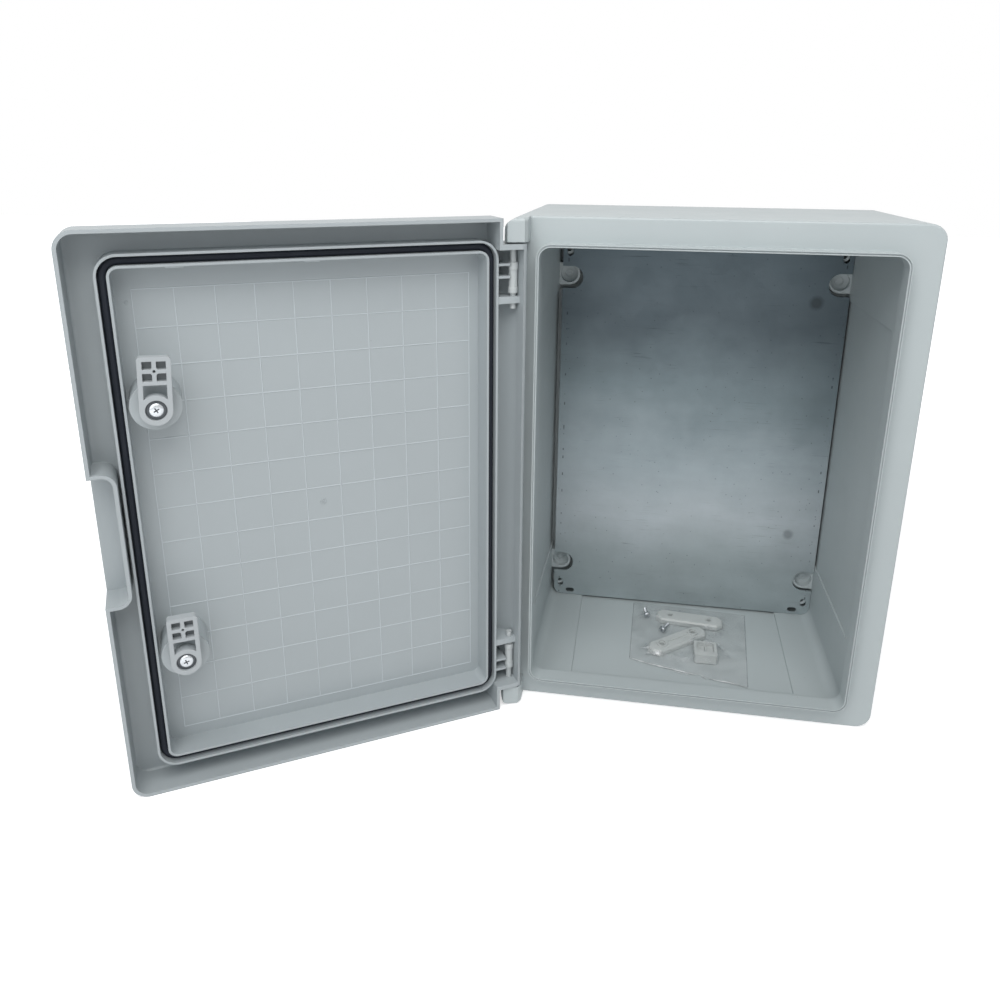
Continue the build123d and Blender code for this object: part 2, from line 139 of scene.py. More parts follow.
def colour_band(tree, value, stops):
    """Colour ramp with stops of place and colour. Returns its colour."""
    item = add(tree, "ValToRGB")
    band = item.color_ramp.elements
    band[0].position, band[0].color = stops[0][0], (*stops[0][1], 1)
    band[1].position, band[1].color = stops[-1][0], (*stops[-1][1], 1)
    for place, colour in stops[1:-1]:
        band.new(place).color = (*colour, 1)
    join(tree, value, item.inputs[0])
    return item.outputs[0]


print("helpers ready")

# %% [markdown]
# ## Background and floor
# The enclosure was photographed on white. The world is split in two: the camera and reflections
# see plain white, while the object is lit by a weaker, slightly cool sky. The floor is a pale
# sheet. It adds a little glow for the camera, more of it far away, so that it reads as white and
# still keeps the soft shadow of the object.

# %% World
world = bpy.data.worlds.new("studio")
scene.world = world
world.use_nodes = True
sky_tree = world.node_tree
sky_tree.nodes.clear()
sky = add(sky_tree, "Background", {"Color": (0.93, 0.965, 1.0, 1), "Strength": 0.40})
backdrop = add(sky_tree, "Background", {"Color": (1, 1, 1, 1), "Strength": 1.0})
either_sky = add(sky_tree, "MixShader")
sky_out = add(sky_tree, "OutputWorld")
join(sky_tree, seen_directly(sky_tree), either_sky.inputs[0])
join(sky_tree, sky.outputs[0], either_sky.inputs[1])
join(sky_tree, backdrop.outputs[0], either_sky.inputs[2])
join(sky_tree, either_sky.outputs[0], sky_out.inputs[0])
print("world ready")

# %% Floor sheet
floor_level = cad_box[0][2] - 0.0004
floor_material = bpy.data.materials.new("floor_sheet")
floor_material.use_nodes = True
floor_tree = floor_material.node_tree
floor_shader = floor_tree.nodes["Principled BSDF"]
floor_shader.inputs["Base Color"].default_value = (0.86, 0.86, 0.86, 1)
floor_shader.inputs["Roughness"].default_value = 0.9
floor_shader.inputs["Emission Color"].default_value = (1, 1, 1, 1)
floor_place = add(floor_tree, "TexCoord")
floor_far = add(floor_tree, "VectorMath", operation="LENGTH")
join(floor_tree, floor_place.outputs["Object"], floor_far.inputs[0])
floor_glow = ramp(floor_tree, floor_far.outputs["Value"], 0.45, 1.1, 0.5, 1.0)
floor_glow = maths(floor_tree, "MULTIPLY", floor_glow, seen_directly(floor_tree))
join(floor_tree, floor_glow, floor_shader.inputs["Emission Strength"])
floor_bm = bmesh.new()
bmesh.ops.create_grid(floor_bm, x_segments=1, y_segments=1, size=4.0)
bmesh.ops.translate(floor_bm, verts=floor_bm.verts, vec=(0, 0, floor_level))
floor_mesh = bpy.data.meshes.new("floor_sheet")
floor_bm.to_mesh(floor_mesh)
floor_bm.free()
floor_mesh.materials.append(floor_material)
floor_sheet = bpy.data.objects.new("floor_sheet", floor_mesh)
scene.collection.objects.link(floor_sheet)
print("floor at", round(floor_level, 4))

# %% [markdown]
# ## Lamps
# In the photograph the tops are lightest, the front faces fade from top to bottom, and the inside
# darkens under the top wall. That is what one large soft lamp above and in front gives, with a
# weaker wide lamp behind the camera to fill the shadows.

# %% Lamps
def lamp(name, place, target, size, watts, colour):
    """Square soft lamp that faces a point."""
    data = bpy.data.lights.new(name, "AREA")
    data.shape = "SQUARE"
    data.size = size
    data.energy = watts
    data.color = colour
    item = bpy.data.objects.new(name, data)
    scene.collection.objects.link(item)
    aim = Vector(target) - Vector(place)
    item.matrix_world = Matrix.Translation(place) @ aim.to_track_quat("-Z", "Y").to_matrix().to_4x4()


lamp("top_lamp", (-0.05, -0.82, 1.10), (-0.1, -0.15, 0), 1.0, 11.6, (1.0, 0.985, 0.965))
lamp("fill_lamp", (-0.45, -1.7, 0.75), (-0.1, -0.2, 0), 1.4, 7.2, (0.97, 0.985, 1.0))
print("lamps placed")

# %% [markdown]
# ## Shared effect: moulded skin
# Moulded ABS is never one flat colour. The flow of the melt leaves very faint clouds, the mould's
# spark-eroded steel leaves a fine grain, and handling leaves a few specks. All plastic pieces share
# this effect, so it is one node group with a colour, a mottle and a gloss input. It puts out a
# colour, a roughness and a height for the bump.

# %% Moulded skin group
def new_group(name, inputs, outputs):
    """Empty node group with named sockets. Returns the group, its input node and output node."""
    group = bpy.data.node_groups.new(name, "ShaderNodeTree")
    for label, kind in inputs:
        group.interface.new_socket(name=label, in_out="INPUT", socket_type="NodeSocket" + kind)
    for label, kind in outputs:
        group.interface.new_socket(name=label, in_out="OUTPUT", socket_type="NodeSocket" + kind)
    return group, group.nodes.new("NodeGroupInput"), group.nodes.new("NodeGroupOutput")


skin, skin_in, skin_out = new_group(
    "moulded_skin", [("Colour", "Color"), ("Mottle", "Float"), ("Gloss loss", "Float")],
    [("Colour", "Color"), ("Roughness", "Float"), ("Height", "Float")])
skin_place = add(skin, "TexCoord").outputs["Object"]
clouds = add(skin, "TexNoise", {"Scale": 11.0, "Detail": 3.0, "Roughness": 0.55})
grain = add(skin, "TexNoise", {"Scale": 1500.0, "Detail": 1.0, "Roughness": 0.6})
handling = add(skin, "TexNoise", {"Scale": 46.0, "Detail": 5.0, "Roughness": 0.7})
specks = add(skin, "TexVoronoi", {"Scale": 52.0})
for texture in (clouds, grain, handling, specks):
    join(skin, skin_place, texture.inputs["Vector"])
cloud_shade = maths(skin, "MULTIPLY", maths(skin, "SUBTRACT", clouds.outputs["Fac"], 0.5),
                    skin_in.outputs["Mottle"])
hand_shade = maths(skin, "MULTIPLY", maths(skin, "SUBTRACT", handling.outputs["Fac"], 0.5), 0.035)
speck_shade = ramp(skin, specks.outputs["Distance"], 0.012, 0.024, -0.3, 0.0)
shade = maths(skin, "ADD", maths(skin, "ADD", cloud_shade, hand_shade), speck_shade)
shade = maths(skin, "ADD", shade, 1.0)
tinted = add(skin, "VectorMath", operation="SCALE")
join(skin, skin_in.outputs["Colour"], tinted.inputs[0])
join(skin, shade, tinted.inputs["Scale"])
join(skin, tinted.outputs[0], skin_out.inputs["Colour"])
rough = maths(skin, "MULTIPLY", maths(skin, "SUBTRACT", handling.outputs["Fac"], 0.5), 0.25)
rough = maths(skin, "ADD", rough, skin_in.outputs["Gloss loss"])
join(skin, rough, skin_out.inputs["Roughness"])
join(skin, grain.outputs["Fac"], skin_out.inputs["Height"])
print("group", skin.name, "sockets", len(skin.interface.items_tree))

# %% [markdown]
# ## Plastic finishes
# Every plastic piece gets its own material from that group, with its own tint and gloss. Moulded
# edges are never knife sharp, and it is their tiny rounding that draws the thin light lines in the
# photograph. A Bevel shader node rounds the look of each edge by a third of a millimetre, and the
# grain bump is laid over it.

# %% Plastic materials
def moulded(name, colour, gloss_loss, mottle=0.08, edge=0.0006):
    """Moulded plastic with faint clouds, fine grain and softened edges."""
    material = bpy.data.materials.new(name)
    material.use_nodes = True
    tree = material.node_tree
    shader = tree.nodes["Principled BSDF"]
    shader.inputs["IOR"].default_value = 1.52
    effect = tree.nodes.new("ShaderNodeGroup")
    effect.node_tree = skin
    effect.inputs["Colour"].default_value = (*colour, 1)
    effect.inputs["Mottle"].default_value = mottle
    effect.inputs["Gloss loss"].default_value = gloss_loss
    soft_edge = add(tree, "Bevel", {"Radius": edge}, samples=4)
    bump = add(tree, "Bump", {"Strength": 0.35, "Distance": 0.00003})
    join(tree, effect.outputs["Colour"], shader.inputs["Base Color"])
    join(tree, effect.outputs["Roughness"], shader.inputs["Roughness"])
    join(tree, effect.outputs["Height"], bump.inputs["Height"])
    join(tree, soft_edge.outputs[0], bump.inputs["Normal"])
    join(tree, bump.outputs[0], shader.inputs["Normal"])
    return material


body_grey = moulded("body_grey", (0.440, 0.487, 0.497), 0.44)
door_grey = moulded("door_grey", (0.382, 0.420, 0.436), 0.42)
# Painted highlight: the ribs are a lighter grey than the door, for the light along them.
rib_grey_painted_highlight = moulded("rib_grey_painted_highlight", (0.50, 0.545, 0.57), 0.42, edge=0.0002)
pin_grey = moulded("pin_grey", (0.48, 0.51, 0.515), 0.36, 0.05)
insert_grey = moulded("insert_grey", (0.33, 0.36, 0.36), 0.40, 0.05)
cam_grey = moulded("cam_grey", (0.405, 0.435, 0.452), 0.40, 0.06, 0.0003)
# Painted shade: the near-black floors of the cam pockets.
pocket_floor_painted_shade = moulded("pocket_floor_painted_shade", (0.15, 0.165, 0.172), 0.50, 0.06, 0.0003)
# Painted shade: the washer is coloured near black for the shade in the cam's recess.
washer_painted_shade = moulded("washer_painted_shade", (0.075, 0.085, 0.095), 0.35, 0.1, 0.0002)
kit_grey = moulded("kit_grey", (0.52, 0.55, 0.545), 0.40, 0.06, 0.0003)
print("plastics ready")

# %% [markdown]
# ## Shared effect: fine marks
# Metal that has been stacked and handled carries hair-thin scratches. They run mostly one way, as
# sheets slide over each other. A noise that is stretched a long way along one axis gives such
# lines, and a second noise breaks them up. The plate and the screws share this group.

# %% Fine marks group
marks, marks_in, marks_out = new_group(
    "fine_marks", [("Stretch", "Vector"), ("Share", "Float")], [("Mask", "Float"), ("Height", "Float")])
marks_place = add(marks, "TexCoord").outputs["Object"]
stretched = add(marks, "VectorMath", operation="MULTIPLY")
join(marks, marks_place, stretched.inputs[0])
join(marks, marks_in.outputs["Stretch"], stretched.inputs[1])
hairs = add(marks, "TexNoise", {"Scale": 1.0, "Detail": 2.0, "Roughness": 0.5})
patches = add(marks, "TexNoise", {"Scale": 34.0, "Detail": 2.0})
join(marks, stretched.outputs[0], hairs.inputs["Vector"])
join(marks, marks_place, patches.inputs["Vector"])
hair_mask = ramp(marks, hairs.outputs["Fac"], 0.66, 0.74)
patch_mask = ramp(marks, patches.outputs["Fac"], 0.5, 0.62)
scratch = maths(marks, "MULTIPLY", maths(marks, "MULTIPLY", hair_mask, patch_mask),
                marks_in.outputs["Share"])
join(marks, scratch, marks_out.inputs["Mask"])
join(marks, maths(marks, "MULTIPLY", scratch, -1.0), marks_out.inputs["Height"])
print("group", marks.name)

# %% [markdown]
# ## The zinc plate
# The back plate is galvanised sheet steel, with cloudy patches, two dark stains, rub marks near its
# long edges and fine scratches. Its colour ramp up the plate, which a noise pushes about, is painted
# shade: slate dark under the top wall, pale lower down and a little darker again at the foot. Each
# blemish is a mask that darkens it. Zinc is a dull mirror, so it is only partly metallic and rough.

# %% Plate tone with painted shade
zinc = bpy.data.materials.new("zinc_sheet")
zinc.use_nodes = True
zt = zinc.node_tree
zinc_shader = zt.nodes["Principled BSDF"]
zinc_shader.inputs["Metallic"].default_value = 0.55
plate_low, plate_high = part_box("mounting_plate")
zinc_place = add(zt, "TexCoord").outputs["Object"]
zinc_xyz = add(zt, "SeparateXYZ")
join(zt, zinc_place, zinc_xyz.inputs[0])
drift = add(zt, "TexNoise", {"Scale": 7.0, "Detail": 4.0, "Roughness": 0.6})
spangle = add(zt, "TexNoise", {"Scale": 38.0, "Detail": 6.0, "Roughness": 0.7})
streaks_place = add(zt, "Mapping", {"Scale": (9.0, 1.0, 46.0)})
streaks = add(zt, "TexNoise", {"Scale": 1.0, "Detail": 4.0, "Roughness": 0.6})
join(zt, zinc_place, drift.inputs["Vector"])
join(zt, zinc_place, spangle.inputs["Vector"])
join(zt, zinc_place, streaks_place.inputs["Vector"])
join(zt, streaks_place.outputs[0], streaks.inputs["Vector"])
push = maths(zt, "MULTIPLY", maths(zt, "SUBTRACT", drift.outputs["Fac"], 0.5), 0.13)
height_up = maths(zt, "ADD", zinc_xyz.outputs["Z"], push)
height_up = ramp(zt, height_up, plate_low[2], plate_high[2])
# The stops hold the zinc's own tone with painted shade: darkest under the top wall, palest a quarter of the way
# up, a little darker at the foot.
tone_and_painted_shade_stops = ((0.0, (0.36, 0.415, 0.43)), (0.14, (0.36, 0.41, 0.425)), (0.27, (0.42, 0.465, 0.49)),
              (0.42, (0.31, 0.36, 0.385)), (0.60, (0.165, 0.208, 0.226)), (0.80, (0.082, 0.107, 0.123)),
              (1.0, (0.100, 0.132, 0.152)))
zinc_tone_and_painted_shade = colour_band(zt, height_up, tone_and_painted_shade_stops)
print("plate tone stops", len(tone_and_painted_shade_stops))

# %% Plate blemishes
def stain(x, z, radius, strength):
    """Dark soft stain at a point of the plate, in metres."""
    spot = add(zt, "VectorMath", {1: (x, plate_low[1], z)}, operation="DISTANCE")
    join(zt, zinc_place, spot.inputs[0])
    ragged = maths(zt, "MULTIPLY", maths(zt, "SUBTRACT", spangle.outputs["Fac"], 0.5), radius)
    reach = maths(zt, "ADD", spot.outputs["Value"], ragged)
    return ramp(zt, reach, radius * 0.6, radius * 1.35, strength, 0.0)


zinc_marks = zt.nodes.new("ShaderNodeGroup")
zinc_marks.node_tree = marks
zinc_marks.inputs["Stretch"].default_value = (34.0, 30.0, 1500.0)
zinc_marks.inputs["Share"].default_value = 1.0
pits = add(zt, "TexVoronoi", {"Scale": 150.0})
join(zt, zinc_place, pits.inputs["Vector"])
pit_mask = ramp(zt, pits.outputs["Distance"], 0.05, 0.10, 0.45, 0.0)
rub_line = maths(zt, "ABSOLUTE", maths(zt, "SUBTRACT", zinc_xyz.outputs["X"], 0.0015))
rub_line = maths(zt, "ABSOLUTE", maths(zt, "SUBTRACT", rub_line, 0.1188))
rub_line = ramp(zt, rub_line, 0.0003, 0.0007, 1.0, 0.0)
rub_place = add(zt, "Mapping", {"Scale": (1.0, 1.0, 170.0)})
rub_dash = add(zt, "TexNoise", {"Scale": 1.0, "Detail": 2.0})
join(zt, zinc_place, rub_place.inputs["Vector"])
join(zt, rub_place.outputs[0], rub_dash.inputs["Vector"])
rub_mask = maths(zt, "MULTIPLY", rub_line, ramp(zt, rub_dash.outputs["Fac"], 0.56, 0.62, 0.0, 0.7))
dark = maths(zt, "MAXIMUM", stain(0.0985, 0.1243, 0.0052, 0.50), stain(0.0975, -0.0960, 0.0042, 0.35))
dark = maths(zt, "MAXIMUM", dark, pit_mask)
dark = maths(zt, "MAXIMUM", dark, rub_mask)
dark = maths(zt, "MAXIMUM", dark, maths(zt, "MULTIPLY", zinc_marks.outputs["Mask"], 0.4))
light = maths(zt, "MULTIPLY", maths(zt, "SUBTRACT", spangle.outputs["Fac"], 0.5), 0.34)
light = maths(zt, "ADD", light, maths(zt, "MULTIPLY", maths(zt, "SUBTRACT", streaks.outputs["Fac"], 0.5),
                                      0.24))
light = maths(zt, "MULTIPLY", maths(zt, "ADD", light, 1.0), maths(zt, "SUBTRACT", 1.0, dark))
zinc_colour = add(zt, "VectorMath", operation="SCALE")
join(zt, zinc_tone_and_painted_shade, zinc_colour.inputs[0])
join(zt, light, zinc_colour.inputs["Scale"])
join(zt, zinc_colour.outputs[0], zinc_shader.inputs["Base Color"])
join(zt, ramp(zt, spangle.outputs["Fac"], 0.3, 0.7, 0.38, 0.56), zinc_shader.inputs["Roughness"])
zinc_bump = add(zt, "Bump", {"Strength": 0.5, "Distance": 0.00006})
join(zt, zinc_marks.outputs["Height"], zinc_bump.inputs["Height"])
join(zt, zinc_bump.outputs[0], zinc_shader.inputs["Normal"])
print("plate finish ready")

# %% [markdown]
# ## Seal rubber
# The seal is poured foam with a skin full of tiny cells. A cell pattern gives both its tone and
# its bump, and a slower noise changes its sheen from place to place, as foam skin does.

# %% Seal rubber
rubber = bpy.data.materials.new("seal_foam")
rubber.use_nodes = True
rt = rubber.node_tree
rubber_shader = rt.nodes["Principled BSDF"]
rubber_shader.inputs["Specular IOR Level"].default_value = 0.22
rubber_place = add(rt, "TexCoord").outputs["Object"]
cells = add(rt, "TexVoronoi", {"Scale": 1500.0})
patchy = add(rt, "TexNoise", {"Scale": 60.0, "Detail": 3.0})
join(rt, rubber_place, cells.inputs["Vector"])
join(rt, rubber_place, patchy.inputs["Vector"])
rubber_mix = maths(rt, "ADD", maths(rt, "MULTIPLY", cells.outputs["Distance"], 0.5),
                   maths(rt, "MULTIPLY", patchy.outputs["Fac"], 0.5))
rubber_tone = colour_band(rt, rubber_mix, ((0.0, (0.010, 0.013, 0.020)), (1.0, (0.026, 0.031, 0.042))))
join(rt, rubber_tone, rubber_shader.inputs["Base Color"])
join(rt, ramp(rt, patchy.outputs["Fac"], 0.3, 0.7, 0.52, 0.72), rubber_shader.inputs["Roughness"])
rubber_bump = add(rt, "Bump", {"Strength": 0.4, "Distance": 0.00008})
join(rt, cells.outputs["Distance"], rubber_bump.inputs["Height"])
join(rt, rubber_bump.outputs[0], rubber_shader.inputs["Normal"])
print("seal finish ready")

# %% [markdown]
# ## Bright plating
# The screws are zinc plated and polished by the barrel they were plated in. They are full metal,
# with a slow bloom in tone and gloss and the same hair marks as the plate, at a finer scale.

# %% Bright plating
plating = bpy.data.materials.new("bright_plating")
plating.use_nodes = True
pt = plating.node_tree
plating_shader = pt.nodes["Principled BSDF"]
plating_shader.inputs["Metallic"].default_value = 1.0
plating_marks = pt.nodes.new("ShaderNodeGroup")
plating_marks.node_tree = marks
plating_marks.inputs["Stretch"].default_value = (900.0, 4000.0, 900.0)
plating_marks.inputs["Share"].default_value = 1.0
plating_place = add(pt, "TexCoord").outputs["Object"]
bloom = add(pt, "TexNoise", {"Scale": 500.0, "Detail": 3.0})
join(pt, plating_place, bloom.inputs["Vector"])
plating_tone = colour_band(pt, bloom.outputs["Fac"], ((0.0, (0.40, 0.43, 0.46)), (1.0, (0.66, 0.68, 0.70))))
join(pt, plating_tone, plating_shader.inputs["Base Color"])
plating_rough = maths(pt, "ADD", ramp(pt, bloom.outputs["Fac"], 0.3, 0.7, 0.16, 0.28),
                      maths(pt, "MULTIPLY", plating_marks.outputs["Mask"], 0.2))
join(pt, plating_rough, plating_shader.inputs["Roughness"])
print("plating ready")

# %% [markdown]
# ## Clear film
# The film is so thin that light goes almost straight through it, so it is mostly see-through. It
# shows where it turns edge-on, which the Layer Weight node finds, partly as painted reflection, and
# where a fold gathers several layers, partly as painted highlight along the fold. The folds are
# written on the mesh as an attribute when the bag is made. The welded seam is the same film, only
# denser, and its bright line is partly painted highlight.

# %% Clear film
def film_finish(name, density):
    """See-through film whose folds and edge-on parts show, partly as painted highlight and painted reflection.
    Density is its share of white.
    """
    material = bpy.data.materials.new(name)
    material.use_nodes = True
    tree = material.node_tree
    shader = tree.nodes["Principled BSDF"]
    haze = add(tree, "TexNoise", {"Scale": 90.0, "Detail": 4.0})
    join(tree, add(tree, "TexCoord").outputs["Object"], haze.inputs["Vector"])
    tone = colour_band(tree, haze.outputs["Fac"], ((0.3, (0.30, 0.33, 0.34)), (0.7, (0.86, 0.88, 0.89))))
    join(tree, tone, shader.inputs["Base Color"])
    join(tree, ramp(tree, haze.outputs["Fac"], 0.3, 0.7, 0.10, 0.22), shader.inputs["Roughness"])
    turned = add(tree, "LayerWeight", {"Blend": 0.5})
    # Painted reflection in part: the film grows more opaque and white where it is seen edge-on.
    edge_on_film_and_painted_reflection = maths(tree, "POWER", turned.outputs["Facing"], 3.0)
    # Painted highlight in part: the film grows opaque and white along the fold ridges.
    fold = add(tree, "Attribute", attribute_name="fold_layers_and_painted_highlight")
    alpha = maths(tree, "ADD", maths(tree, "MULTIPLY", edge_on_film_and_painted_reflection, 0.30), density)
    alpha = maths(tree, "ADD", alpha, maths(tree, "MULTIPLY", fold.outputs["Fac"], 0.9), clamp=True)
    join(tree, alpha, shader.inputs["Alpha"])
    return material


clear_film = film_finish("clear_film", 0.10)
# Seam film: thick welded film whose near-opaque white is partly painted highlight.
seam_film_and_painted_highlight = film_finish("seam_film_and_painted_highlight", 0.85)
print("film ready")

# %% [markdown]
# ## Finishes on the CAD pieces
# A CAD piece whose shape is right stays as it is, and only its material slot is filled. Some of
# them are hidden further down, where a more detailed piece stands for them.

# %% Dress the CAD pieces
for name, finish in {
    "body_shell": body_grey, "door_panel": door_grey, "mounting_plate": zinc,
    "hinge_pin_upper": pin_grey, "hinge_pin_lower": pin_grey,
    "lock_insert_upper": insert_grey, "lock_insert_lower": insert_grey,
    "lock_seal_upper": rubber, "lock_seal_lower": rubber,
    "lock_cam_upper": cam_grey, "lock_cam_lower": cam_grey,
    "kit_bracket_front": kit_grey, "kit_bracket_back": kit_grey, "kit_cap": kit_grey,
    "door_gasket": rubber, "cam_screw_upper": plating, "cam_screw_lower": plating,
    "kit_screw_a": plating, "kit_screw_b": plating, "kit_bag": clear_film,
}.items():
    for place in nodes[name].material_slots:
        place.material = finish
print("dressed", len(nodes), "pieces")

# %% [markdown]
# ## Places on the door and on the floor of the cabinet
# Two frames save a lot of arithmetic. Pieces on the door are drawn with the door shut, where its
# sides run straight, and one matrix swings them open with it.

# %% Door frame and kit frame
rise = 0.0052
door_angle = -148.5
hinge_line = Vector((-0.1437, -0.177, 0.0))
swung = (Matrix.Translation(hinge_line + Vector((0, 0, rise)))
         @ Matrix.Rotation(radians(door_angle), 4, "Z") @ Matrix.Translation(-hinge_line))
floor_start = Vector((0, -0.161, -0.1923 + rise))
on_floor = Matrix.Translation(floor_start) @ Matrix.Rotation(atan(0.038), 4, "X")


def piece_from(bm, name, material, body, place, stands_for=(), crisp=35):
    """Turn a bmesh into a finished piece: placed in its mesh, shaded, and riding on a body."""
    bmesh.ops.transform(bm, matrix=place, verts=bm.verts)
    for face in bm.faces:
        face.smooth = True
    mesh = bpy.data.meshes.new(name)
    bm.to_mesh(mesh)
    bm.free()
    mesh.set_sharp_from_angle(angle=radians(crisp))
    mesh.materials.append(material)
    piece = bpy.data.objects.new(name, mesh)
    scene.collection.objects.link(piece)
    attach(piece, body)
    if stands_for:
        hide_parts(*stands_for)
    print(name, "faces", len(mesh.polygons))


print("frames ready")

# %% [markdown]
# ## The foam seal
# The seal is poured into the door's channel as a liquid and rises into a low crown. Its edges stay
# a little below the middle, which gives the thin black lines beside it. The collar of the body has
# pressed a faint line along its crest. It is one cross-section carried round a rounded rectangle:
# straight runs are extruded and corners are spun, as a moulder's profile would run.

# %% Carry a section round a rounded rectangle
def carry_round(bm, ring, half_x, half_z, corner, steps):
    """Carry a closed ring of edges once round a rounded rectangle that stands upright."""
    run_x, run_z = 2 * (half_x - corner), 2 * (half_z - corner)
    side_x, side_z = half_x - corner, half_z - corner
    legs = (((0, run_z), (side_x, side_z)), ((-run_x, 0), (-side_x, side_z)),
            ((0, -run_z), (-side_x, -side_z)), ((run_x, 0), (side_x, -side_z)))
    for (dx, dz), (cx, cz) in legs:
        grown = bmesh.ops.extrude_edge_only(bm, edges=ring)["geom"]
        bmesh.ops.translate(bm, verts=[g for g in grown if isinstance(g, bmesh.types.BMVert)],
                            vec=(dx, 0, dz))
        ring = [g for g in grown if isinstance(g, bmesh.types.BMEdge)]
        corners = {v for edge in ring for v in edge.verts}
        turned = bmesh.ops.spin(bm, geom=list(corners) + ring, cent=(cx, 0, cz), axis=(0, -1, 0),
                                angle=pi / 2, steps=steps)["geom_last"]
        ring = [g for g in turned if isinstance(g, bmesh.types.BMEdge)]
    bmesh.ops.remove_doubles(bm, verts=bm.verts, dist=0.00002)
    bmesh.ops.recalc_face_normals(bm, faces=bm.faces)


print("section tool ready")

# %% Foam seal
seal_x, seal_z, seal_corner = 126.4 * MM, 180.0 * MM, 9.7 * MM
seal_section = ((-2.62, 184.4), (-2.66, 179.2), (-2.45, 178.0), (-1.9, 177.2), (-1.1, 176.75),
                (-0.55, 176.7), (0.0, 176.85), (0.55, 176.7), (1.1, 176.75), (1.9, 177.2),
                (2.45, 178.0), (2.66, 179.2), (2.62, 184.4))
seal_bm = bmesh.new()
start_z = -(seal_z - seal_corner)
seal_points = [seal_bm.verts.new((seal_x + off * MM, -depth * MM, start_z))
               for off, depth in seal_section]
seal_ring = [seal_bm.edges.new((a, b)) for a, b in zip(seal_points, seal_points[1:] + seal_points[:1])]
carry_round(seal_bm, seal_ring, seal_x, seal_z, seal_corner, 10)
piece_from(seal_bm, "foam_seal", rubber, "door", swung, ("door_gasket",), 50)

# %% [markdown]
# ## The drilling grid on the door
# The inside of the door carries a net of hair-thin raised lines, one every 25 mm, that helps to
# mark holes for lamps and switches. The lines stop at the round lock bosses. They are real ribs,
# about a third of a millimetre high, because a painted line would not catch the light.

# %% Rib helper
def bar(bm, low, high, soften):
    """Small straight bar between two corners in millimetres, with softened edges."""
    low, high = Vector(low) * MM, Vector(high) * MM
    size = high - low
    place = Matrix.Translation((low + high) / 2) @ Matrix.Diagonal((*size, 1))
    made = bmesh.ops.create_cube(bm, size=1.0, matrix=place)["verts"]
    edges = list({edge for v in made for edge in v.link_edges})
    bmesh.ops.bevel(bm, geom=edges, offset=soften * MM, offset_type="OFFSET", segments=1, profile=0.5,
                    affect="EDGES", material=-1)


def open_runs(start, end, middle, half_gap):
    """The parts of a line that stay clear of a gap round its middle."""
    if half_gap <= 0:
        return [(start, end)]
    parts = [(start, min(end, middle - half_gap)), (max(start, middle + half_gap), end)]
    return [(a, b) for a, b in parts if b - a > 1.0]


print("rib tool ready")

# %% Grid of ribs
lock_x, lock_z, boss_r = 104.2, 90.0, 16.0
panel = 191.5
rib_half, rib_high = 0.38, 0.32
pitch = 25.13
grid_x = [-114.8 + pitch * k for k in range(10)]
grid_z = [-166.7 + pitch * k for k in range(14)]


def chord(away):
    """Half of the line that a boss covers, at a distance from its middle."""
    return sqrt(boss_r ** 2 - away ** 2) if abs(away) < boss_r else 0.0


grid_bm = bmesh.new()
for x in grid_x:
    runs = []
    for low, high, lock in ((grid_z[0], 0.0, -lock_z), (0.0, grid_z[-1], lock_z)):
        runs += open_runs(low, high, lock, chord(x - lock_x))
    for low, high in runs:
        bar(grid_bm, (x - rib_half, -panel - 0.3, low), (x + rib_half, -panel + rib_high, high), 0.12)
for z in grid_z:
    lock = lock_z if z > 0 else -lock_z
    for low, high in open_runs(grid_x[0], grid_x[-1], lock_x, chord(z - lock)):
        bar(grid_bm, (low, -panel - 0.3, z - rib_half), (high, -panel + rib_high, z + rib_half), 0.12)
# The lighter rib grey is painted highlight along the ribs.
piece_from(grid_bm, "drilling_grid", rib_grey_painted_highlight, "door", swung)

# %% [markdown]
# ## Moulding marks
# A moulded door shows how it was made. The melt came in at one point in the middle, where a small
# gate stub was cut off, an ejector left a round mark near a corner, and the inner ridge has two
# small thickened places along its top. Each round mark is a short profile spun about its own axis.

# %% Spun shapes
def spun(profile, steps=32):
    """Closed turned shape. The profile gives radius and height, from the axis back to the axis."""
    bm = bmesh.new()
    points = [bm.verts.new((radius * MM, 0, up * MM)) for radius, up in profile]
    edges = [bm.edges.new(pair) for pair in zip(points, points[1:])]
    bmesh.ops.spin(bm, geom=points + edges, cent=(0, 0, 0), axis=(0, 0, 1), angle=2 * pi,
                   steps=steps, use_merge=True)
    bmesh.ops.remove_doubles(bm, verts=bm.verts, dist=0.000002)
    bmesh.ops.recalc_face_normals(bm, faces=bm.faces)
    return bm


def facing_body(x, depth, z):
    """Place on the shut door, in millimetres, with the shape's own up turned towards the body."""
    return Matrix.Translation((x * MM, -depth * MM, z * MM)) @ Matrix.Rotation(-pi / 2, 4, "X")


print("turning tool ready")

# %% Gate stub, ejector mark and ridge pads
gate = spun(((0, -0.3), (2.3, -0.3), (2.3, 0.25), (2.0, 0.45), (1.5, 0.4), (1.2, 0.15), (0.8, 0.15),
             (0.6, 0.7), (0.25, 0.8), (0, 0.8)))
piece_from(gate, "gate_stub", door_grey, "door", swung @ facing_body(-0.8, panel, -2.1))
mark = spun(((0, -0.3), (1.3, -0.3), (1.3, 0.1), (1.1, 0.25), (0, 0.3)))
piece_from(mark, "ejector_mark", door_grey, "door",
           swung @ facing_body(114.9, panel, 151.9))
pads_bm = bmesh.new()
for low, high in ((79.0, 90.0), (-5.5, 5.5)):
    bar(pads_bm, (low, -183.0, 174.7), (high, -172.9, 176.2), 0.35)
piece_from(pads_bm, "ridge_pads", door_grey, "door", swung)

# %% [markdown]
# ## Screws with cross slots
# Each cam is held by a plated pan-head screw on a washer, and two more screws lie in the bag. Head
# and washer are one turned profile. The cross slot is cut with a Boolean modifier, whose cutter is
# two crossed bars that narrow towards their tips, just as the punch that makes the real one.

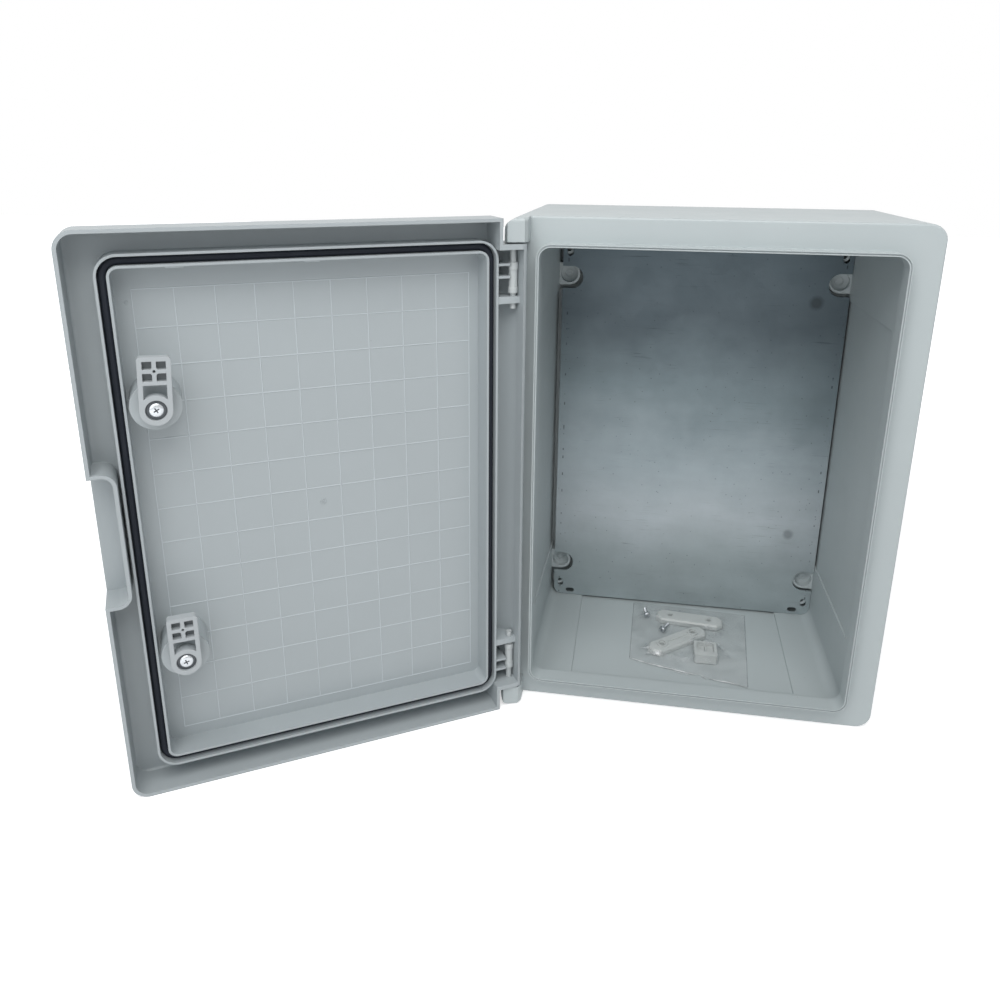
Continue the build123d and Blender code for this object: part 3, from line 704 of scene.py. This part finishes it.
# %% Cross slot
def slotted(bm, reach, width, depth, top, angle):
    """Cut a tapering cross slot into the top of a turned head. Returns the new bmesh."""
    cutter_bm = bmesh.new()
    for side in (0, pi / 2):
        place = (Matrix.Rotation(angle + side, 4, "Z") @ Matrix.Translation((0, 0, top * MM))
                 @ Matrix.Diagonal((2 * reach * MM, width * MM, 2 * depth * MM, 1)))
        made = bmesh.ops.create_cube(cutter_bm, size=1.0, matrix=place)["verts"]
        tip = [v for v in made if v.co.z < top * MM]
        bmesh.ops.scale(cutter_bm, verts=tip, vec=(0.45, 0.45, 1.0))
    meshes = []
    objects = []
    for label, source in (("head_blank", bm), ("slot_cutter", cutter_bm)):
        mesh = bpy.data.meshes.new(label)
        source.to_mesh(mesh)
        source.free()
        item = bpy.data.objects.new(label, mesh)
        scene.collection.objects.link(item)
        meshes.append(mesh)
        objects.append(item)
    cut = objects[0].modifiers.new("slot", "BOOLEAN")
    cut.operation = "DIFFERENCE"
    cut.solver = "EXACT"
    cut.use_self = True
    cut.object = objects[1]
    bpy.context.view_layer.update()
    done = bpy.data.meshes.new_from_object(objects[0].evaluated_get(bpy.context.evaluated_depsgraph_get()))
    result = bmesh.new()
    result.from_mesh(done)
    for item in objects:
        bpy.data.objects.remove(item)
    for mesh in (*meshes, done):
        bpy.data.meshes.remove(mesh)
    return result


print("slot tool ready")

# %% Cam screws
cam_seat = 156.3
for end, z, angle in (("upper", lock_z, 0.5), ("lower", -lock_z, 0.3)):
    head = spun(((0, -12.0), (1.5, -12.0), (1.5, 0), (4.5, 0), (4.7, 0.3), (4.6, 0.8), (4.2, 1.25),
                 (3.5, 1.6), (2.6, 1.8), (1.4, 1.88), (0, 1.9)), 40)
    head = slotted(head, 2.6, 1.1, 1.6, 1.9, angle)
    piece_from(head, "cam_screw_dressed_" + end, plating, "lock_" + end,
               swung @ facing_body(lock_x, cam_seat, z), ("cam_screw_" + end,), 30)
    # The washer's near-black colour is painted shade in the cam's recess round the head.
    washer = spun(((0, 0.02), (6.3, 0.02), (6.3, 0.4), (6.1, 0.5), (0, 0.5)), 40)
    piece_from(washer, "cam_washer_" + end, washer_painted_shade, "lock_" + end,
               swung @ facing_body(lock_x, cam_seat, z))

# %% [markdown]
# ## Pockets of the cams
# The small windows of a cam aren't open: each is a pocket with a floor. The floor is coloured far
# darker than the cam, as painted shade in the pocket. A thin plate in the cam's own thickness closes
# them. It is drawn upright, then turned with the cam.

# %% Cam pocket floors
for end, z, turned in (("upper", lock_z, -3), ("lower", -lock_z, 0)):
    floor_bm = bmesh.new()
    bar(floor_bm, (lock_x - 8.4, -160.2, z + 17.5), (lock_x + 8.4, -158.4, z + 32.5), 0.1)
    about = Matrix.Translation((lock_x * MM, 0, z * MM))
    lean = about @ Matrix.Rotation(radians(turned), 4, "Y") @ about.inverted()
    piece_from(floor_bm, "cam_pocket_floor_" + end, pocket_floor_painted_shade, "lock_" + end,
               swung @ lean)

# %% [markdown]
# ## Webs in the wall fixings
# The box leaves the mould with its four wall holes still closed. A thin web with a raised ring
# fills each one, at the foot of its counterbore, and the fitter breaks out those that are needed.

# %% Fixing webs
web_bm = bmesh.new()
for x in (-116.9, 116.9):
    for z in (-148.0, 137.6):
        one = spun(((0, 0), (3.82, 0), (3.82, 1.0), (3.3, 1.25), (2.3, 1.25), (2.0, 1.0), (0, 1.0)), 28)
        front = Matrix.Translation((x * MM, -8.4 * MM, z * MM)) @ Matrix.Rotation(pi / 2, 4, "X")
        bmesh.ops.transform(one, matrix=front, verts=one.verts)
        kept = bpy.data.meshes.new("web")
        one.to_mesh(kept)
        one.free()
        web_bm.from_mesh(kept)
        bpy.data.meshes.remove(kept)
piece_from(web_bm, "fixing_webs", body_grey, "enclosure",
           Matrix.Translation((0, 0, rise)))

# %% [markdown]
# ## Loose kit screws
# A thread is a ridge that climbs as it goes round. One small V of edges is spun with a step along
# the axis at each turn, and that is exactly how a lathe cuts it. It sits on a plain shank.

# %% Kit screws
def kit_screw(name, node, x, y, angle, slot_angle):
    """Pan-head screw with a spun thread, lying on the cabinet floor."""
    upside_down = Matrix.Rotation(pi, 4, "X")
    blank = spun(((0, -2.2), (1.9, -2.15), (2.8, -1.6), (3.15, -0.8), (3.2, 0), (1.35, 0), (1.3, 0.6),
                  (1.3, 10.6), (0.35, 11.9), (0, 12.0)), 28)
    bmesh.ops.transform(blank, matrix=upside_down, verts=blank.verts)
    screw = slotted(blank, 1.9, 0.8, 1.3, 2.2, slot_angle)
    bmesh.ops.transform(screw, matrix=upside_down, verts=screw.verts)
    turns, per_turn, lead = 8, 14, 1.15
    ridge = [screw.verts.new((radius * MM, 0, up * MM)) for radius, up in ((1.2, 0.9), (1.62, 1.2), (1.2, 1.5))]
    ridge_edges = [screw.edges.new(pair) for pair in zip(ridge, ridge[1:] + ridge[:1])]
    bmesh.ops.spin(screw, geom=ridge + ridge_edges, cent=(0, 0, 0), axis=(0, 0, 1),
                   dvec=(0, 0, lead * MM / per_turn), angle=2 * pi * turns, steps=turns * per_turn)
    bmesh.ops.holes_fill(screw, edges=[edge for edge in screw.edges if edge.is_boundary], sides=4)
    bmesh.ops.recalc_face_normals(screw, faces=screw.faces)
    place = (on_floor @ Matrix.Translation((x * MM, y * MM, 3.85 * MM))
             @ Matrix.Rotation(radians(angle), 4, "Z") @ Matrix.Rotation(pi / 2, 4, "Y"))
    piece_from(screw, name, plating, "enclosure", place, (node,), 30)


kit_screw("kit_screw_dressed_a", "kit_screw_a", -29, 114, 100, 0.4)
kit_screw("kit_screw_dressed_b", "kit_screw_b", -14, 92, 62, 0.9)

# %% [markdown]
# ## Trays on the fixing straps
# The front strap is a moulded tray: a raised rim runs round its top, with a rib between the two
# ring bosses. The CAD has the bar and the rings, and this trim adds the rim and the rib. The cap
# beside it has a divider in its well.

# %% Strap rim and cap divider
def laid(x, y, angle):
    """Place on the cabinet floor, in millimetres and degrees."""
    return (on_floor @ Matrix.Translation((x * MM, y * MM, 0.65 * MM))
            @ Matrix.Rotation(radians(angle), 4, "Z"))


long, wide, cut = 29.4, 6.9, 4.2
outline = ((long, wide - cut), (long - cut, wide), (cut - long, wide), (-long, wide - cut),
           (-long, cut - wide), (cut - long, -wide), (long - cut, -wide), (long, cut - wide))
trim_bm = bmesh.new()
lid = trim_bm.faces.new([trim_bm.verts.new((x * MM, y * MM, 0)) for x, y in outline])
rim = bmesh.ops.inset_region(trim_bm, faces=[lid], thickness=1.1 * MM, use_even_offset=True)["faces"]
bmesh.ops.delete(trim_bm, geom=[lid], context="FACES_ONLY")
bmesh.ops.solidify(trim_bm, geom=rim, thickness=1.0 * MM)
lowest = min(v.co.z for v in trim_bm.verts)
bmesh.ops.translate(trim_bm, verts=trim_bm.verts, vec=(0, 0, 4.95 * MM - lowest))
bmesh.ops.recalc_face_normals(trim_bm, faces=trim_bm.faces)
bar(trim_bm, (-12.9, -0.45, 4.9), (12.9, 0.45, 5.9), 0.15)
piece_from(trim_bm, "strap_trim", kit_grey, "enclosure", laid(-1, 77, 39))
divider_bm = bmesh.new()
bar(divider_bm, (-0.5, -5.2, 4.3), (0.5, 9.2, 7.8), 0.15)
piece_from(divider_bm, "cap_divider", kit_grey, "enclosure", laid(23, 60, 0))

# %% [markdown]
# ## The clear bag
# Each point moves to the mean of its neighbours and a little lower, but never below what holds it
# up. Fine folds that run out towards the corners are added at the end.

kit_bm = bmesh.new()
for name in ("kit_bracket_front", "kit_bracket_back", "kit_cap", "kit_screw_a", "kit_screw_b"):
    kit_bm.from_mesh(nodes[name].data)
bmesh.ops.transform(kit_bm, matrix=on_floor.inverted(), verts=kit_bm.verts)
kit_tree = BVHTree.FromBMesh(kit_bm)
kit_bm.free()
bag_corners = [Vector(c) * MM for c in ((-44, 46), (57, 21), (65, 134), (-42, 139))]
cells_across = 88


def on_bag(u, v):
    """Point of the bag's outline, u along the front edge and v towards the wall."""
    near = bag_corners[0].lerp(bag_corners[1], u)
    far = bag_corners[3].lerp(bag_corners[2], u)
    return near.lerp(far, v)


def kit_height(point):
    hit = kit_tree.ray_cast(Vector((point.x, point.y, 0.05)), Vector((0, 0, -1)))[0]
    return hit.z if hit else 0.0


count = cells_across + 1
plan = [[on_bag(i / cells_across, j / cells_across) for i in range(count)] for j in range(count)]
held = [[kit_height(p) + 0.0006 for p in row] for row in plan]
print("kit stands", round(max(max(row) for row in held) * 1000, 2), "mm high")

# %% Let the film settle
lift = [row[:] for row in held]
for step in range(160):
    fresh = [row[:] for row in lift]
    for j in range(1, cells_across):
        above, here, below, limit = lift[j - 1], lift[j], lift[j + 1], held[j]
        for i in range(1, cells_across):
            mean = (above[i] + below[i] + here[i - 1] + here[i + 1]) / 4 - 0.000012
            fresh[j][i] = max(mean, limit[i])
    lift = fresh
print("film settled, highest", round(max(max(row) for row in lift) * 1000, 2), "mm")

# %% Folds
def fold(p, angle, spread, tight, seed):
    """Ridge pattern that runs along one direction, from 0 to 1."""
    along = p.x * cos(angle) + p.y * sin(angle)
    across = p.y * cos(angle) - p.x * sin(angle)
    value = noise.noise(Vector((along * spread, across * tight, seed)))
    return max(0.0, 1.0 - abs(value) * 7.0) ** 2


bag_bm = bmesh.new()
bmesh.ops.create_grid(bag_bm, x_segments=cells_across, y_segments=cells_across, size=1.0)
fold_layers_and_painted_highlight = bag_bm.verts.layers.float.new("fold_layers_and_painted_highlight")
for v in bag_bm.verts:
    u, w = (v.co.x + 1) / 2, (v.co.y + 1) / 2
    i, j = round(u * cells_across), round(w * cells_across)
    inner = min(1.0, min(u, 1 - u, w, 1 - w) * 9.0)
    p = plan[j][i]
    folds = (0.55 * fold(p, radians(-14), 16, 150, 3.1) + 0.5 * fold(p, radians(48), 14, 130, 8.4)
             + 0.4 * fold(p, radians(100), 18, 140, 5.7))
    patch = max(0.0, noise.noise(Vector((p.x * 30, p.y * 30, 1.7))) + 0.45)
    drop = lift[j][i] - held[j][i]
    raised = folds * patch * inner * min(1.0, 0.2 + drop * 500)
    v.co = Vector((p.x, p.y, lift[j][i] + raised * 0.0014))
    # Fold mask: partly the film's own layers, partly painted highlight along the ridges.
    v[fold_layers_and_painted_highlight] = min(1.0, raised * raised * 2.6)
base = bmesh.ops.duplicate(bag_bm, geom=bag_bm.verts[:] + bag_bm.edges[:] + bag_bm.faces[:])["geom"]
for v in [g for g in base if isinstance(g, bmesh.types.BMVert)]:
    if not v.is_boundary:
        v.co.z = 0.00015
        v[fold_layers_and_painted_highlight] = 0.0
bmesh.ops.remove_doubles(bag_bm, verts=bag_bm.verts, dist=0.00002)
bmesh.ops.recalc_face_normals(bag_bm, faces=bag_bm.faces)
piece_from(bag_bm, "clear_bag", clear_film, "enclosure", on_floor, ("kit_bag",), 180)

# %% [markdown]
# ## Welded seam
# The front of the bag is a welded seam that curls up and shows as a bright line, broken where the
# film is nipped. The bright line is partly painted highlight, from the near-opaque white film of the
# seam. It is a flattened ring, extruded from point to point along the seam and narrowed to its ends.

# %% Seam curls
def curl(bm, start, end, width, high, bow, steps=14):
    """Flattened rod from one kit point to another, with pointed ends and a slight bow."""
    start, end = Vector((*start, 0)) * MM, Vector((*end, 0)) * MM
    along = (end - start).normalized()
    side = Vector((-along.y, along.x, 0))
    ring = bmesh.ops.create_circle(bm, segments=8, radius=1.0)["verts"]
    edges = list({edge for v in ring for edge in v.link_edges})
    facing = Matrix((along, side, Vector((0, 0, 1)))).transposed().to_4x4()
    upright = Matrix.Rotation(pi / 2, 4, "Y")
    before = Matrix.Identity(4)
    for step in range(steps + 1):
        t = step / steps
        swell = max(0.12, sin(pi * t)) ** 0.35
        wave = side * (bow * MM * sin(pi * t) + 0.25 * MM * sin(9 * t + start.x * 90))
        size = Matrix.Diagonal((1, width * MM * swell / 2, high * MM * swell / 2, 1))
        middle = start.lerp(end, t) + wave + Vector((0, 0, 0.9 * MM))
        place = Matrix.Translation(middle) @ facing @ size @ upright
        if step:
            grown = bmesh.ops.extrude_edge_only(bm, edges=edges)["geom"]
            ring = [g for g in grown if isinstance(g, bmesh.types.BMVert)]
            edges = [g for g in grown if isinstance(g, bmesh.types.BMEdge)]
        bmesh.ops.transform(bm, matrix=place @ before.inverted(), verts=ring)
        before = place
    bmesh.ops.holes_fill(bm, edges=[edge for edge in bm.edges if edge.is_boundary], sides=8)


seam_bm = bmesh.new()
curl(seam_bm, (-43.5, 46.2), (14, 31.5), 1.5, 1.1, -1.0)
curl(seam_bm, (18, 30.8), (22.5, 26.5), 1.0, 0.9, 0.3, 6)
curl(seam_bm, (24, 27.5), (57, 21.2), 1.3, 1.0, 0.8)
curl(seam_bm, (-7, 33.5), (9, 29.5), 0.5, 0.5, 0.2, 8)
bmesh.ops.recalc_face_normals(seam_bm, faces=seam_bm.faces)
piece_from(seam_bm, "bag_seam", seam_film_and_painted_highlight, "enclosure", on_floor, (), 60)
